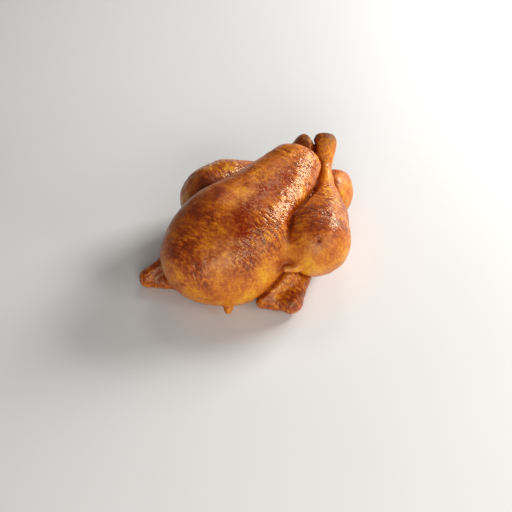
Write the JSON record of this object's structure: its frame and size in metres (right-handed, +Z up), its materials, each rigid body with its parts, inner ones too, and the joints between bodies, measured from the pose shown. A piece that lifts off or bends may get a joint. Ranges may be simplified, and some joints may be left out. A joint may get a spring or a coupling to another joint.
{
  "type": "roast chicken",
  "caption": "Whole roast chicken lying on its back, legs drawn up beside the breast and wings folded against the body, with golden to dark brown glossy skin.",
  "frame": {"origin": "middle of the bird's box, on the surface that it lies on", "axes": "+Z up, the breast's side; +Y towards the leg ends; +X towards the bird's own right leg"},
  "size_m": [0.176, 0.212, 0.095],
  "materials": {
    "roasted_skin": "glossy"
  },
  "bodies": {
    "root": {"roast_chicken": "roasted_skin"}
  },
  "joints": []
}
